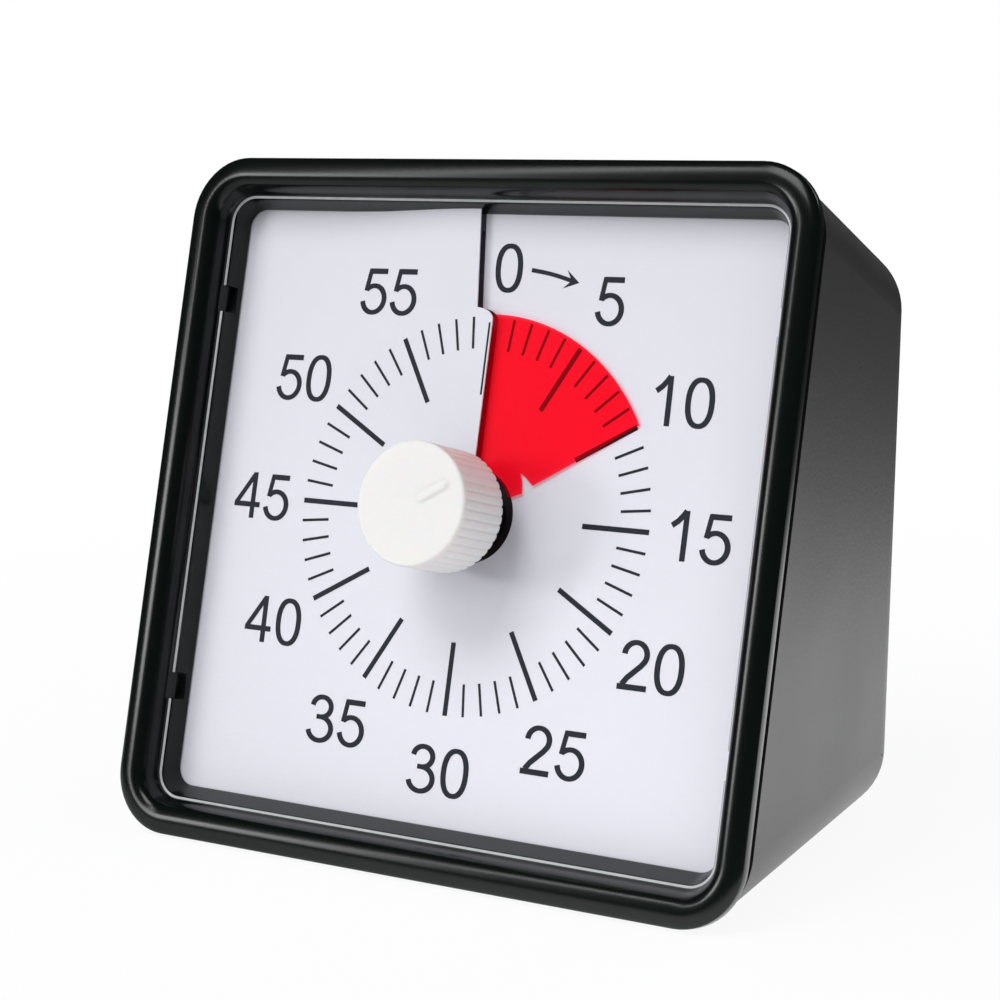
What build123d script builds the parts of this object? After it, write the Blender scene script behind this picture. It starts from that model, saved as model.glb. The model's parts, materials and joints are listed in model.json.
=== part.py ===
from build123d import *
from math import cos, sin, tan, pi, radians
import os

# Free-standing 60-minute visual countdown timer, in millimetres.
# Stand frame: +X to the right of the dial, +Y to the back, +Z up, the base on Z = 0.
# Face frame: origin at the dial centre on the card, X right, Y up the dial, Z out of the dial.

# ---- overall sizes
face_width = 76.4            # bezel, across
face_height = 75.4           # bezel, along the dial
base_depth = 49.5            # base, from the bezel seam to the back
face_tilt = 15.0             # the dial leans back by this angle
side_taper = 5.4             # each side closes in towards the back
top_taper = 4.6              # the top comes down towards the back
case_wall = 2.0
case_edge_radius = 7.2
bezel_overhang = 0.36        # bezel stands proud of the case all round

# ---- bezel and window
bezel_drop = 0.5             # bezel centre below the dial centre
bezel_corner_radius = 6.8
seam_height = 2.1            # case rim and bezel meet here, above the card
groove_depth = 0.9
groove_top = 3.6
crease_height = 4.75
bezel_height = 5.25
roll_width = 0.9
land_width = 1.1
lip_width = 68.4
lip_height = 66.8
lip_corner_radius = 4.2
step_width = 0.35
step_height = 3.0
window_draft = 0.65
skirt_gap = 0.15             # between skirt and card, and between skirt and case wall
notch_length = 3.2
notch_depth = 0.75
notch_from_centre = 21.8
notch_floor = 0.6            # above the card

# ---- dial card, film and backing
card_thickness = 0.4
card_hole_radius = 5.1
film_thickness = 0.3
film_gap = 0.2
film_radius = 21.6
film_hub_gap = 0.3
film_span = 355.0            # degrees of disc between its two radial edges
time_shown = 60.0            # degrees of red in view with the knob at rest: ten minutes
card_flat_from = 24.0        # the card is flat outside this radius
ring_lap = 0.2               # the climbing ring runs this far into the flat card
slit_width = 0.6
slit_offset = -1.6
backing_top = -1.8
backing_thickness = 1.2
backing_rim_width = 3.5
backing_gap = 0.35           # to the case wall
hub_clearance = 0.4          # hub in the backing's hole
ledge_width = 1.6
ledge_thickness = 1.6

# ---- knob, hub and spindle
knob_radius = 6.72
knob_height = 7.55
knob_clearance = 4.2         # knob's back face above the card
knob_rim_radius = 0.5
flute_count = 36
flute_radius = 0.26
flute_stop = 0.7             # plain band left below the knob's face
pointer_start = 1.7
pointer_end = 5.2
pointer_width = 1.1
pointer_height = 0.35
spindle_radius = 1.5
fit_clearance = 0.05
end_gap = 0.1                # at the end of a shaft or hub in its socket
hub_radius = 4.6
hub_neck_radius = 3.35
hub_socket_depth = 2.4
spindle_in_knob = 5.4

# ---- movement
tooth_module = 0.4
centre_teeth = 60
third_teeth = 50
pinion_teeth = 10
third_angle = -120.0         # from the spindle to the third wheel, over the battery's end
motor_angle = 90.0           # from the third wheel to the motor, above the battery well
wheel_thickness = 1.2
wheel_gap = 1.6              # between the centre wheel and the third wheel
centre_wheel_drop = 3.4      # movement cover to the front of the centre wheel's back face
pinion_length = 2.2
pinion_lap = 0.4             # pinion stands past its wheel
movement_wall = 1.5
movement_depth = 9.0
movement_margin = 1.5        # between wheels and movement walls
ear_length = 5.0
ear_width = 6.0
ear_from_end = 8.0
arbor_radius = 0.6
arbor_seat = 1.1             # arbor's depth in the movement's back plate
motor_radius = 6.0
motor_depth = 7.0
motor_edge_radius = 0.6
shaft_in_motor = 1.5
terminal_width = 5.0
terminal_height = 1.5
terminal_reach = 1.6
bush_wall = 1.6
bush_drop = 1.0
washer_radius = 3.8
washer_top_radius = 2.6
washer_height = 0.6
circlip_radius = 2.6
circlip_thickness = 0.5
cam_radius = 5.0
cam_thickness = 1.0
cam_notch_width = 1.6
cam_notch_depth = 1.2
leaf_thickness = 0.3
leaf_width = 0.8
leaf_foot = 1.0
spoke_holes = 5
spoke_hole_radius = 2.6
spoke_circle_radius = 7.0

# ---- screws: head radius, head height, shank radius
case_screw = (2.4, 1.4, 1.2)
small_screw = (1.7, 1.1, 0.85)
slot_in_head = 0.5           # width of the driving slot
head_clearance = 0.25
blind_wall = 0.5             # left in front of a blind screw hole
tip_gap = 0.3                # from a screw's tip to the end of its hole
post_radius = 3.6
backing_post_radius = 3.0
upper_post_inset = 8.84      # from the case's side
upper_post_drop = 12.84      # from the case's top
lower_post_inset = 9.84
lower_post_y = 0.0
post_seat = -12.0
post_floor = 2.0
base_screw_inset = 1.6       # from the movement's wall
base_screw_hole = 5.0
small_post_wall = 1.0

# ---- battery and its well, in the lower back
battery_length = 50.5
battery_radius = 7.25
battery_gap = 0.4
well_wall = 1.3
well_floor_height = 5.0
spring_length = 4.6
contact_thickness = 0.4
door_lap = 0.5               # door opening over the well, all round
door_gap = 0.15
door_grip_width = 12.0
door_grip_height = 3.4
door_grip_depth = 0.6
door_grip_drop = 1.6         # below the door's top edge
door_rib_pitch = 1.2
door_rib_width = 0.6
door_rib_height = 0.4
cell_nub_length = 1.0
cell_nub_radius = 2.75
cell_edge_radius = 0.5
contact_width = 10.0
spring_turns = 3
spring_coil_radius = 3.4
spring_wire = 0.35

# ---- circuit board on the upper back wall
board_width = 48.0
board_height = 22.0
board_thickness = 1.2
board_centre_height = 45.0
board_standoff = 4.6
standoff_radius = 2.4
board_hole_inset = 2.5
chip_width = 8.0
chip_height = 1.3
crystal_length = 6.0
crystal_radius = 1.4
crystal_x = -10.0
crystal_rise = 6.0
buzzer_radius = 6.0
buzzer_height = 4.0
buzzer_x = -12.0
buzzer_port_radius = 1.2
buzzer_port_depth = 1.3
grille_hole_radius = 0.7
grille_ring_radius = 2.6
switch_x = 12.0
switch_travel = 4.0
slider_width = 3.0
slider_height = 2.4
slider_recess = 0.3
slider_gap = 0.3             # slider in the case's slot
slider_seat = 1.4            # slider's back over the board
slider_groove = 0.3
housing_gap = 0.2
housing_height = 3.4
housing_wall = 2.0
finger_recess = 2.5          # hollow round the slot, each way along it
finger_recess_depth = 0.7
finger_recess_side = 2.0

# ---- what follows from them
face_half = face_width / 2
pitch = card_thickness + film_thickness + 2 * film_gap     # rise of card and film in one turn
tilt = radians(face_tilt)
case_half = face_half - bezel_overhang
case_top = face_height / 2 - bezel_drop - bezel_overhang
case_bottom = -face_height / 2 - bezel_drop + bezel_overhang
upper_post_x = case_half - upper_post_inset
upper_post_y = case_top - upper_post_drop
lower_post_x = case_half - lower_post_inset
post_places = ((-upper_post_x, upper_post_y), (upper_post_x, upper_post_y),
               (-lower_post_x, lower_post_y), (lower_post_x, lower_post_y))
dial_height = -case_bottom * cos(tilt) - seam_height * sin(tilt)
rim_front = case_bottom * sin(tilt) - seam_height * cos(tilt)
back = rim_front + base_depth
bezel_front = -bezel_height * cos(tilt) - (face_height / 2 + bezel_drop - roll_width) * sin(tilt)
middle = (bezel_front + back) / 2
FACE = Pos(0, 0, dial_height) * Rot(90 - face_tilt, 0, 0)
backing_back = backing_top - backing_thickness
movement_back = backing_back - movement_depth
beyond = 200.0               # past the whole object, for half spaces and through cuts


def slab(width, height, radius, low, high, centre=0.0):
    """Rounded plate between two heights over the dial."""
    return Pos(0, centre, low) * extrude(RectangleRounded(width, height, radius), high - low)


def tapered(low_size, high_size, low, high, centre=0.0):
    """Rounded opening or rim whose (width, height, corner radius) changes with height."""
    sections = [Pos(0, centre, level) * RectangleRounded(*size)
                for level, size in ((low, low_size), (high, high_size))]
    return loft(sections, ruled=True)


def rod(x, y, low, high, radius):
    """Round bar or hole along Z."""
    return Pos(x, y, (low + high) / 2) * Cylinder(radius, high - low)


def block(x0, x1, y0, y1, z0, z1):
    """Box between two corners."""
    return Pos((x0 + x1) / 2, (y0 + y1) / 2, (z0 + z1) / 2) * Box(x1 - x0, y1 - y0, z1 - z0)


def screw(x, y, seat, tip, size):
    """Pan-head screw along Z, its head under the seat."""
    head_radius, head_height, shank_radius = size
    head = rod(x, y, seat - head_height, seat, head_radius)
    shank = rod(x, y, seat, tip, shank_radius)
    slot = block(x - head_radius, x + head_radius, y - slot_in_head / 2, y + slot_in_head / 2,
                 seat - head_height, seat - head_height / 2)
    return head + shank - slot


def case_shape(inset):
    """The case as a solid, its sides, top, base and back moved in by the inset."""
    half = case_half - inset / cos(radians(side_taper))
    top = case_top - inset / cos(radians(top_taper))
    solid = block(-beyond, beyond, -beyond, beyond, -beyond, seam_height)
    right = block(-beyond, 0, -beyond, beyond, -beyond, beyond)
    left = block(0, beyond, -beyond, beyond, -beyond, beyond)
    under = block(-beyond, beyond, -beyond, 0, -beyond, beyond)
    solid &= Pos(half, 0, seam_height) * Rot(0, side_taper, 0) * right
    solid &= Pos(-half, 0, seam_height) * Rot(0, -side_taper, 0) * left
    solid &= Pos(0, top, seam_height) * Rot(-top_taper, 0, 0) * under
    solid = FACE * solid & block(-beyond, beyond, -beyond, back - inset, inset, beyond)
    edges = [edge for edge in solid.edges() if height_over_card(edge.center()) < seam_height - 0.01]
    return fillet(edges, case_edge_radius - inset)


def height_over_card(point):
    """How far a point of the stand frame lies out of the dial."""
    return (point.Z - dial_height) * sin(tilt) - point.Y * cos(tilt)


def room(level, gap):
    """Half width, bottom and top of the room inside the case walls, at a height over the card."""
    drop = seam_height - level
    half = case_half - case_wall / cos(radians(side_taper)) - drop * tan(radians(side_taper)) - gap
    bottom = case_bottom + case_wall / cos(tilt) + drop * tan(tilt) + gap
    top = case_top - case_wall / cos(radians(top_taper)) - drop * tan(radians(top_taper)) - gap
    return half, bottom, top


def room_slab(low, high, gap):
    """Plate that fills the case's width and height between two heights, less a gap."""
    half, bottom, top = room(low, gap)
    return slab(2 * half, top - bottom, case_edge_radius - case_wall, low, high, (top + bottom) / 2)


def helicoid(inner, outer, start, end, low, thickness):
    """Ring that rises clockwise by the pitch in each turn, between two clockwise angles."""
    steps = round((end - start) / 12)
    sections = []
    for step in range(steps + 1):
        angle = start + (end - start) * step / steps
        base = low - pitch / 2 + pitch * angle / 360
        section = Pos((inner + outer) / 2, base + thickness / 2) * Rectangle(outer - inner, thickness)
        sections.append(Rot(0, 0, 90 - angle) * (Plane.XZ * section))
    return loft(sections, ruled=True)


def gear(teeth, low, high, x=0.0, y=0.0, turn=0.0):
    """Spur gear with straight-flanked teeth and running backlash."""
    pitch_radius = teeth * tooth_module / 2
    tip = pitch_radius + 0.9 * tooth_module
    root = pitch_radius - 1.2 * tooth_module
    points = []
    for tooth in range(teeth):
        middle_angle = 360 / teeth * tooth + turn
        for share, radius in ((-0.31, root), (-0.1, tip), (0.1, tip), (0.31, root)):
            angle = radians(middle_angle + share * 360 / teeth)
            points.append((radius * cos(angle), radius * sin(angle)))
    outline = make_face(Polyline(*points, close=True))
    return Pos(x, y, low) * extrude(outline, high - low)


# ---- places in the movement
centre_pitch_radius = centre_teeth * tooth_module / 2
pinion_pitch_radius = pinion_teeth * tooth_module / 2
third_pitch_radius = third_teeth * tooth_module / 2
third_x = (centre_pitch_radius + pinion_pitch_radius) * cos(radians(third_angle))
third_y = (centre_pitch_radius + pinion_pitch_radius) * sin(radians(third_angle))
motor_x = third_x + (third_pitch_radius + pinion_pitch_radius) * cos(radians(motor_angle))
motor_y = third_y + (third_pitch_radius + pinion_pitch_radius) * sin(radians(motor_angle))
centre_low = backing_back - movement_wall - centre_wheel_drop
third_low = centre_low - wheel_thickness - wheel_gap
wheels = ((0, 0, centre_pitch_radius), (third_x, third_y, third_pitch_radius),
          (motor_x, motor_y, pinion_pitch_radius))
round_wheels = tooth_module + movement_margin + movement_wall
movement_left = min(x - radius for x, y, radius in wheels) - round_wheels
movement_right = max(x + radius for x, y, radius in wheels) + round_wheels
movement_top = max(y + radius for x, y, radius in wheels) + round_wheels
movement_bottom = min(y - radius for x, y, radius in wheels) - round_wheels


def front_bezel():
    outer = (face_width, face_height, bezel_corner_radius)
    crown = (face_width - 2 * roll_width, face_height - 2 * roll_width, bezel_corner_radius - roll_width)
    land = 2 * (roll_width + land_width)
    funnel_top = (face_width - land, face_height - land, bezel_corner_radius - land / 2)
    step = (lip_width + 2 * step_width, lip_height + 2 * step_width, lip_corner_radius + step_width)
    lip = (lip_width, lip_height, lip_corner_radius)
    sill = (lip_width - 2 * window_draft, lip_height - 2 * window_draft, lip_corner_radius - window_draft)
    neck = (face_width - 2 * groove_depth, face_height - 2 * groove_depth, bezel_corner_radius - groove_depth)
    body = slab(*outer, groove_top, crease_height) + tapered(outer, crown, crease_height, bezel_height)
    body += slab(*neck, seam_height, groove_top)
    body = Pos(0, -bezel_drop, 0) * body
    body += room_slab(skirt_gap, seam_height, skirt_gap)
    opening = tapered(sill, lip, skirt_gap, seam_height)
    opening += slab(*step, seam_height, step_height) + tapered(step, funnel_top, step_height, bezel_height)
    body -= Pos(0, -bezel_drop, 0) * opening
    for side in (-1, 1):
        for place in (-notch_from_centre, notch_from_centre):
            edge = side * (lip_width / 2)
            body -= block(edge - notch_depth, edge + notch_depth, place - notch_length / 2,
                          place + notch_length / 2, notch_floor, step_height)
    return FACE * body


def case_body():
    shell = case_shape(0) - case_shape(case_wall)
    ledge = case_shape(case_wall) - case_shape(case_wall + ledge_width)
    shell += ledge & (FACE * slab(100, 100, 1, backing_back - ledge_thickness, backing_back))
    outside = case_shape(0)
    for x, y in post_places:
        shell += outside & (FACE * rod(x, y, -beyond, post_seat + post_floor, post_radius))
    for x, y in post_places:
        shell -= FACE * rod(x, y, -beyond, post_seat, case_screw[0] + head_clearance)
        shell -= FACE * rod(x, y, post_seat, post_seat + post_floor, case_screw[2] + fit_clearance)
    shell += outside & block(-well_half - well_wall, well_half + well_wall, well_front - well_wall, back,
                             well_bottom - well_wall, well_top + well_wall)
    shell -= block(-well_half, well_half, well_front, back - case_wall, well_bottom, well_top)
    shell -= block(-door_half - door_gap, door_half + door_gap, back - case_wall, back,
                   door_bottom - door_gap, door_top + door_gap)
    for x in (-board_hole_x, board_hole_x):
        shell += Pos(x, back - case_wall - board_standoff / 2, board_centre_height) * standoff()
    for hole in grille():
        shell -= hole
    slot_half = (slider_width + switch_travel) / 2 + slider_gap
    slot_side = slider_height / 2 + slider_gap
    shell -= block(switch_x - slot_half, switch_x + slot_half, back - case_wall, back,
                   board_centre_height - slot_side, board_centre_height + slot_side)
    slot_half += finger_recess
    slot_side += finger_recess_side
    shell -= block(switch_x - slot_half, switch_x + slot_half, back - finger_recess_depth, back,
                   board_centre_height - slot_side, board_centre_height + slot_side)
    return shell


# ---- battery well and door, in the stand frame
well_half = (battery_length + spring_length + 2 * contact_thickness + 2 * battery_gap) / 2
well_size = 2 * (battery_radius + battery_gap)
well_front = back - case_wall - well_size
well_bottom = well_floor_height
well_top = well_bottom + well_size
battery_y = well_front + battery_radius + battery_gap
battery_z = well_bottom + battery_radius + battery_gap / 2
door_half = well_half + door_lap
door_bottom = well_bottom - door_lap
door_top = well_top + door_lap

# ---- board places, in the stand frame
board_back = back - case_wall - board_standoff
board_front = board_back - board_thickness
board_hole_x = board_width / 2 - board_hole_inset
board_hole_radius = small_screw[2] + fit_clearance


def standoff():
    """Hollow post on the back wall that carries the board."""
    post = Cylinder(standoff_radius, board_standoff)
    return Rot(90, 0, 0) * (post - Cylinder(board_hole_radius, board_standoff))


def grille():
    """Round sound holes in the back wall: one in the middle and a ring of six."""
    places = [(0, 0)]
    for step in range(6):
        angle = radians(60 * step)
        places.append((grille_ring_radius * cos(angle), grille_ring_radius * sin(angle)))
    return [Pos(buzzer_x + x, back - case_wall / 2, board_centre_height + z) * Rot(90, 0, 0)
            * Cylinder(grille_hole_radius, case_wall) for x, z in places]


def battery_door():
    skin = case_shape(0) & block(-door_half, door_half, back - case_wall, back + 1, door_bottom, door_top)
    grip_half = door_grip_width / 2
    grip_bottom = door_top - door_grip_drop - door_grip_height
    door = skin - block(-grip_half, grip_half, back - door_grip_depth, back, grip_bottom,
                        grip_bottom + door_grip_height)
    for step in range(3):
        low = grip_bottom + (step + 0.35) * door_rib_pitch
        door += block(-grip_half, grip_half, back - door_grip_depth, back - door_grip_depth + door_rib_height,
                      low, low + door_rib_width)
    return door


def battery():
    cell = Cylinder(battery_radius, battery_length - cell_nub_length)
    cell = fillet(cell.edges(), cell_edge_radius)
    nub = Pos(0, 0, battery_length / 2) * Cylinder(cell_nub_radius, cell_nub_length)
    middle_x = battery_left() + battery_length / 2
    return Pos(middle_x, battery_y, battery_z) * Rot(0, 90, 0) * Pos(0, 0, -cell_nub_length / 2) * (cell + nub)


def contact_blade(left):
    """Square metal plate at one end of the well."""
    half = contact_width / 2
    return block(left, left + contact_thickness, battery_y - half, battery_y + half,
                 battery_z - half, battery_z + half)


def contact_spring():
    length = battery_left() + well_half - contact_thickness
    path = Helix(pitch=(length - 2 * spring_wire) / spring_turns, height=length - 2 * spring_wire,
                 radius=spring_coil_radius)
    profile = Plane(origin=path @ 0, z_dir=path % 0) * Circle(spring_wire)
    coil = sweep(profile, path=path)
    seat = -well_half + contact_thickness + spring_wire * 0.6
    return contact_blade(-well_half) + Pos(seat, battery_y, battery_z) * Rot(0, 90, 0) * coil


def battery_left():
    """Left end of the cell, where the spring presses."""
    return (spring_length - battery_gap - battery_length) / 2


def contact_plate():
    return contact_blade(well_half - contact_thickness)


def dial_card():
    sheet = room_slab(-card_thickness, 0, skirt_gap)
    sheet -= rod(0, 0, -card_thickness, 0, card_flat_from)
    sheet -= block(slit_offset - slit_width / 2, slit_offset + slit_width / 2, card_flat_from - 1, face_height,
                   -card_thickness, 0)
    ring = helicoid(card_hole_radius - 1, card_flat_from + 2, 0, 360, -card_thickness, card_thickness)
    ring = ring & (rod(0, 0, -pitch, pitch, card_flat_from + ring_lap)
                   - rod(0, 0, -pitch, pitch, card_hole_radius))
    return FACE * (sheet + ring)


def film_disc():
    film = helicoid(hub_neck_radius - 1, film_radius + 2, time_shown - film_span, time_shown,
                    film_gap, film_thickness)
    film = film & (rod(0, 0, -pitch, 2 * pitch, film_radius)
                   - rod(0, 0, -pitch, 2 * pitch, hub_neck_radius + film_hub_gap))
    return FACE * film


def dial_backing():
    half, low, high = room(backing_back, backing_gap)
    rim = 2 * backing_rim_width
    radius = case_edge_radius - case_wall
    plate = room_slab(backing_back, -card_thickness - fit_clearance, backing_gap)
    plate -= slab(2 * half - rim, high - low - rim, radius - 1, backing_top, 0, (low + high) / 2)
    plate -= rod(0, 0, backing_back, backing_top, hub_radius + hub_clearance)
    for x, y in post_places:
        plate += rod(x, y, post_seat + post_floor, backing_back, backing_post_radius)
        plate -= rod(x, y, post_seat + post_floor, backing_top - blind_wall, case_screw[2] + fit_clearance)
    for x, y in ear_places():
        plate -= rod(x, y, backing_back, backing_top - blind_wall, small_screw[2] + fit_clearance)
    return FACE * plate


def ear_places():
    return [(x, y) for x in (movement_left - ear_length / 2, movement_right + ear_length / 2)
            for y in (movement_top - ear_from_end, movement_bottom + ear_from_end)]


def setting_knob():
    top = knob_clearance + knob_height
    knob = rod(0, 0, knob_clearance, top, knob_radius)
    knob = fillet(knob.edges().group_by(Axis.Z)[-1], knob_rim_radius)
    for step in range(flute_count):
        angle = radians(360 / flute_count * step)
        knob -= rod(knob_radius * cos(angle), knob_radius * sin(angle), knob_clearance, top - flute_stop,
                    flute_radius)
    middle_of_pointer = (pointer_start + pointer_end) / 2
    pointer = SlotCenterToCenter(pointer_end - pointer_start - pointer_width, pointer_width)
    pointer = extrude(Pos(middle_of_pointer, 0, top) * pointer, pointer_height)
    knob += Rot(0, 0, 90 - time_shown) * pointer
    knob -= rod(0, 0, knob_clearance, knob_clearance + hub_socket_depth, hub_neck_radius + fit_clearance)
    knob -= rod(0, 0, knob_clearance, knob_clearance + spindle_in_knob, spindle_radius + fit_clearance)
    return FACE * knob


def film_hub():
    hub = rod(0, 0, backing_back + end_gap, backing_top, hub_radius)
    hub += rod(0, 0, backing_top, knob_clearance + hub_socket_depth - end_gap, hub_neck_radius)
    return bored(hub)


def spindle():
    foot = movement_back - arbor_seat
    return FACE * rod(0, 0, foot, knob_clearance + spindle_in_knob - end_gap, spindle_radius)


def spindle_bush():
    low = backing_back - movement_wall - bush_drop
    return bored(rod(0, 0, low, backing_back - end_gap, spindle_radius + bush_wall))


def bored(piece):
    """A ring that sits on the spindle."""
    return FACE * (piece - rod(0, 0, -beyond, beyond, spindle_radius + fit_clearance))


def centre_wheel():
    wheel = gear(centre_teeth, centre_low, centre_low + wheel_thickness, turn=third_angle)
    for step in range(spoke_holes):
        angle = radians(360 / spoke_holes * step)
        wheel -= rod(spoke_circle_radius * cos(angle), spoke_circle_radius * sin(angle), centre_low,
                     centre_low + wheel_thickness, spoke_hole_radius)
    return bored(wheel)


def alarm_cam():
    low = centre_low + wheel_thickness + end_gap
    cam = rod(0, 0, low, low + cam_thickness, cam_radius)
    notch = block(-cam_notch_width / 2, cam_notch_width / 2, cam_radius - cam_notch_depth, cam_radius,
                  low, low + cam_thickness)
    return bored(cam - notch)


def clutch_washer():
    """Cone spring that presses the centre wheel on the spindle."""
    washer = Pos(0, 0, centre_low - washer_height / 2) * Cone(washer_radius, washer_top_radius, washer_height)
    return bored(washer)


def spindle_circlip():
    top = centre_low - washer_height - end_gap
    return bored(rod(0, 0, top - circlip_thickness, top, circlip_radius))


def third_wheel():
    low = centre_low - pinion_lap
    turn = third_angle + 180 + 180 / pinion_teeth
    pinion = gear(pinion_teeth, low, low + pinion_length, third_x, third_y, turn)
    wheel = gear(third_teeth, third_low, third_low + wheel_thickness, third_x, third_y, motor_angle)
    arbor = rod(third_x, third_y, movement_back - arbor_seat, backing_back - blind_wall, arbor_radius)
    collar = rod(third_x, third_y, third_low + wheel_thickness, low, pinion_pitch_radius - 1.5 * tooth_module)
    return FACE * (pinion + wheel + arbor + collar)


def motor_pinion():
    low = third_low - pinion_lap
    turn = motor_angle + 180 + 180 / pinion_teeth
    pinion = gear(pinion_teeth, low, low + pinion_length, motor_x, motor_y, turn)
    shaft = rod(motor_x, motor_y, movement_back - movement_wall - shaft_in_motor, third_low, arbor_radius)
    return FACE * (pinion + shaft)


def drive_motor():
    top = movement_back - movement_wall
    can = rod(motor_x, motor_y, top - motor_depth, top, motor_radius)
    can = fillet(can.edges().group_by(Axis.Z)[0], motor_edge_radius)
    can -= rod(motor_x, motor_y, top - shaft_in_motor - blind_wall, top, arbor_radius + fit_clearance)
    terminals = block(motor_x + motor_radius - blind_wall, motor_x + motor_radius + terminal_reach,
                      motor_y - terminal_width / 2, motor_y + terminal_width / 2,
                      top - motor_depth / 2 - terminal_height / 2, top - motor_depth / 2 + terminal_height / 2)
    return FACE * (can + terminals)


def base_screw_places():
    inset = movement_wall + base_screw_inset
    return ((movement_left + inset, movement_top - inset), (movement_right - inset, movement_top - inset),
            (movement_left + inset, movement_bottom + inset), (movement_right - inset, movement_bottom + inset))


def movement_cover():
    outer = block(movement_left, movement_right, movement_bottom, movement_top, movement_back, backing_back)
    inner = block(movement_left + movement_wall, movement_right - movement_wall,
                  movement_bottom + movement_wall, movement_top - movement_wall,
                  movement_back, backing_back - movement_wall)
    cover = outer - inner
    for x, y in ear_places():
        cover += block(x - ear_length / 2, x + ear_length / 2, y - ear_width / 2, y + ear_width / 2,
                       backing_back - movement_wall, backing_back)
        cover -= rod(x, y, backing_back - movement_wall, backing_back, small_screw[2] + fit_clearance)
    for x, y in base_screw_places():
        cover += rod(x, y, movement_back, backing_back - movement_wall, small_screw[2] + small_post_wall)
        cover -= rod(x, y, movement_back, movement_back + base_screw_hole, small_screw[2] + fit_clearance)
    cover -= rod(0, 0, -beyond, backing_back, spindle_radius + bush_wall)
    cover -= rod(third_x, third_y, backing_back - movement_wall, backing_back - blind_wall,
                 arbor_radius + fit_clearance)
    return FACE * cover


def movement_base():
    plate = block(movement_left, movement_right, movement_bottom, movement_top,
                  movement_back - movement_wall, movement_back)
    plate -= rod(0, 0, movement_back - movement_wall, movement_back, spindle_radius + fit_clearance)
    plate -= rod(third_x, third_y, movement_back - arbor_seat - end_gap, movement_back,
                 arbor_radius + fit_clearance)
    plate -= rod(motor_x, motor_y, movement_back - movement_wall, movement_back, arbor_radius + fit_clearance)
    for x, y in base_screw_places():
        plate -= rod(x, y, movement_back - movement_wall, movement_back, small_screw[2] + fit_clearance)
    return FACE * plate


def alarm_contact():
    """Springy leaf that reads the cam's notch, held on the movement cover's wall."""
    low = centre_low + wheel_thickness + leaf_thickness
    reach = cam_radius + leaf_thickness
    wall = movement_right - movement_wall
    leaf = block(-cam_notch_width, wall, reach, reach + leaf_thickness, low, low + leaf_width)
    foot = block(wall - leaf_foot, wall, reach - 2 * leaf_foot, reach + 3 * leaf_foot, low - end_gap,
                 backing_back - movement_wall)
    return FACE * (leaf + foot)


def case_screws():
    tip = backing_top - blind_wall - tip_gap
    return FACE * Compound(children=[screw(x, y, post_seat, tip, case_screw) for x, y in post_places])


def movement_screws():
    seat = backing_back - movement_wall
    tip = backing_top - blind_wall - tip_gap
    return FACE * Compound(children=[screw(x, y, seat, tip, small_screw) for x, y in ear_places()])


def base_screws():
    seat = movement_back - movement_wall
    tip = movement_back + base_screw_hole - tip_gap
    return FACE * Compound(children=[screw(x, y, seat, tip, small_screw) for x, y in base_screw_places()])


def circuit_board():
    board = block(-board_width / 2, board_width / 2, board_front, board_back,
                  board_centre_height - board_height / 2, board_centre_height + board_height / 2)
    for x in (-board_hole_x, board_hole_x):
        hole = Rot(90, 0, 0) * Cylinder(board_hole_radius, board_thickness)
        board -= Pos(x, (board_front + board_back) / 2, board_centre_height) * hole
    return board


def board_screws():
    turned = Pos(0, board_front, board_centre_height) * Rot(-90, 0, 0)
    return turned * Compound(children=[screw(x, 0, 0, board_standoff, small_screw)
                                       for x in (-board_hole_x, board_hole_x)])


def controller_chip():
    return block(-chip_width / 2, chip_width / 2, board_front - chip_height, board_front,
                 board_centre_height - chip_width / 2, board_centre_height + chip_width / 2)


def quartz_crystal():
    can = Rot(0, 90, 0) * Cylinder(crystal_radius, crystal_length)
    can = fillet(can.edges(), crystal_radius / 5)
    return Pos(crystal_x, board_front - crystal_radius, board_centre_height + crystal_rise) * can


def buzzer():
    shell = Rot(90, 0, 0) * Cylinder(buzzer_radius, buzzer_height)
    port = Pos(0, (buzzer_height - buzzer_port_depth) / 2, 0) * Rot(90, 0, 0) * Cylinder(buzzer_port_radius,
                                                                                         buzzer_port_depth)
    return Pos(buzzer_x, board_back + buzzer_height / 2, board_centre_height) * (shell - port)


def switch_housing():
    half = (slider_width + switch_travel) / 2 + housing_gap
    side = slider_height / 2 + housing_gap
    floor = board_back + slider_seat - housing_gap
    body = block(switch_x - half - housing_wall, switch_x + half + housing_wall,
                 board_back, board_back + housing_height,
                 board_centre_height - side - housing_wall, board_centre_height + side + housing_wall)
    return body - block(switch_x - half, switch_x + half, floor, board_back + housing_height,
                        board_centre_height - side, board_centre_height + side)


def sound_slider():
    left = switch_x - (switch_travel + slider_width) / 2
    front = back - slider_recess
    slider = block(left, left + slider_width, board_back + slider_seat, front,
                   board_centre_height - slider_height / 2, board_centre_height + slider_height / 2)
    for step in range(1, 4):
        x = left + slider_width / 4 * step
        slider -= block(x - slider_groove / 2, x + slider_groove / 2, front - slider_groove, front,
                        board_centre_height - slider_height / 2, board_centre_height + slider_height / 2)
    return slider


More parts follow.
